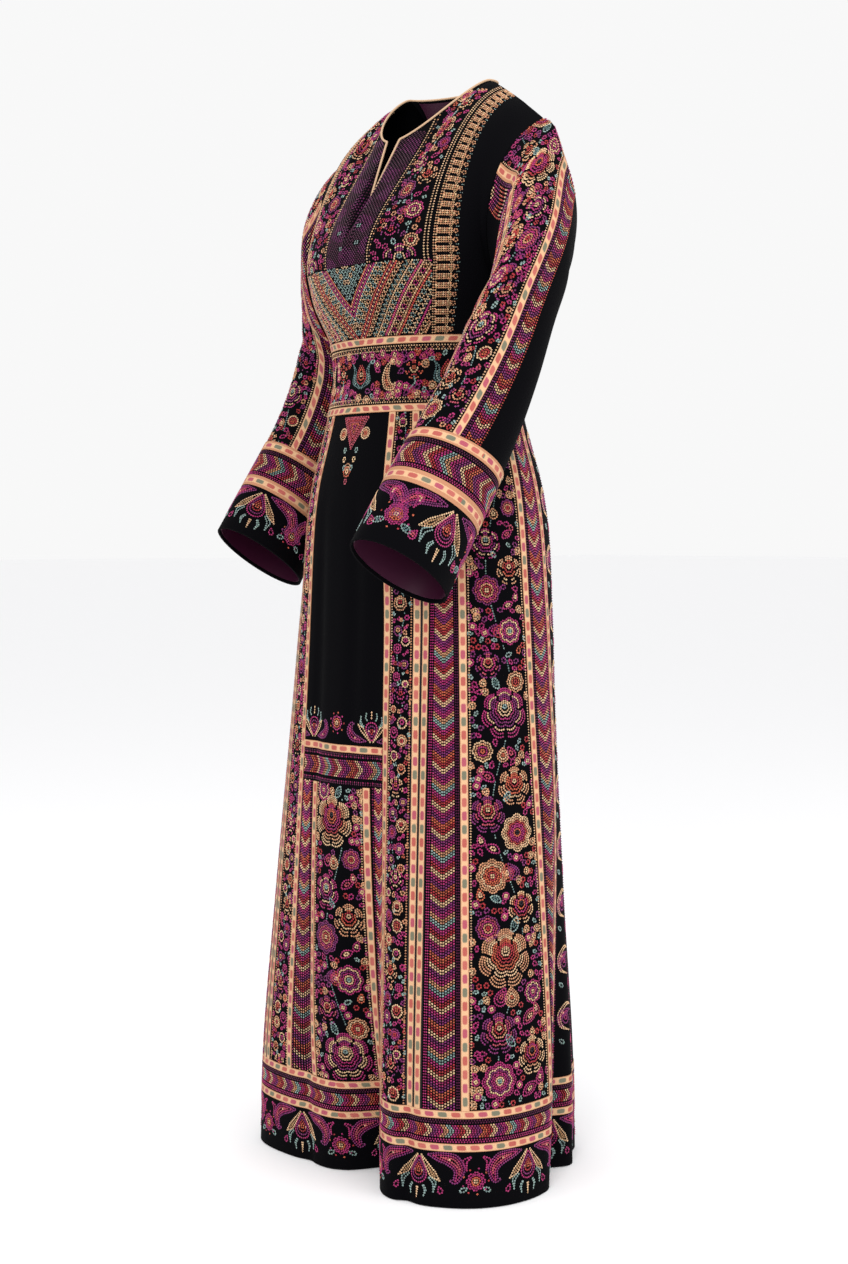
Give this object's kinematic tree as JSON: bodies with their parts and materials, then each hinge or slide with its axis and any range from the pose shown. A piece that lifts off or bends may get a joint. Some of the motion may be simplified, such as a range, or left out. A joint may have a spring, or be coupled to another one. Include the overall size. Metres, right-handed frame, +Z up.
{
  "type": "palestinian thobe dress",
  "caption": "Long-sleeved, floor-length black velvet dress with embroidered chest panel, belt, striped skirt and hem bands, shaped as if worn, with nobody in it.",
  "frame": {"origin": "middle of the neck opening, level with the tops of the shoulder seams", "axes": "+Z up, towards the neck; -Y out of the front; +X towards the wearer's left sleeve"},
  "size_m": [0.5431, 0.4553, 1.4067],
  "materials": {
    "velvet": "black cotton velvet, short soft nap",
    "embroidery": "dense stitching in magenta, peach, plum, teal and cream on black velvet",
    "ribbon": "narrow woven cream ribbon with red and green blocks, slight sheen",
    "satin": "plum satin, smooth sheen"
  },
  "bodies": {
    "root": {"belt_band": "embroidery", "belt_ribbon_lower": "ribbon", "belt_ribbon_upper": "ribbon", "bodice_back": "velvet", "bodice_side_left": "velvet", "bodice_side_right": "velvet", "chest_panel": "embroidery", "comb_border_left": "embroidery", "comb_border_right": "embroidery", "cuff_left_border": "embroidery", "cuff_left_chevron_band": "embroidery", "cuff_left_lining": "satin", "cuff_left_ribbon_lower": "ribbon", "cuff_left_ribbon_upper": "ribbon", "cuff_right_border": "embroidery", "cuff_right_chevron_band": "embroidery", "cuff_right_lining": "satin", "cuff_right_ribbon_lower": "ribbon", "cuff_right_ribbon_upper": "ribbon", "hem_border": "embroidery", "hem_chevron_band": "embroidery", "hem_ribbon_lower": "ribbon", "hem_ribbon_upper": "ribbon", "neck_facing": "satin", "neck_piping": "ribbon", "skirt_back": "velvet", "skirt_chevron_back_left": "embroidery", "skirt_chevron_back_right": "embroidery", "skirt_chevron_front_left": "embroidery", "skirt_chevron_front_right": "embroidery", "skirt_floral_left": "embroidery", "skirt_floral_right": "embroidery", "skirt_front": "velvet", "skirt_front_band": "embroidery", "skirt_front_lower": "embroidery", "skirt_ribbon_back_left": "ribbon", "skirt_ribbon_back_right": "ribbon", "skirt_ribbon_front_left": "ribbon", "skirt_ribbon_front_right": "ribbon", "skirt_ribbon_pair_left": "ribbon", "skirt_ribbon_pair_right": "ribbon", "skirt_ribbon_side_back_left": "ribbon", "skirt_ribbon_side_back_right": "ribbon", "skirt_ribbon_side_left": "ribbon", "skirt_ribbon_side_right": "ribbon", "skirt_vine_left": "embroidery", "skirt_vine_right": "embroidery", "sleeve_left_chevron_back": "embroidery", "sleeve_left_chevron_front": "embroidery", "sleeve_left_floral": "embroidery", "sleeve_left_ribbon_back": "ribbon", "sleeve_left_ribbon_front": "ribbon", "sleeve_left_under": "velvet", "sleeve_right_chevron_back": "embroidery", "sleeve_right_chevron_front": "embroidery", "sleeve_right_floral": "embroidery", "sleeve_right_ribbon_back": "ribbon", "sleeve_right_ribbon_front": "ribbon", "sleeve_right_under": "velvet", "under_bust_panel": "embroidery"}
  },
  "joints": []
}
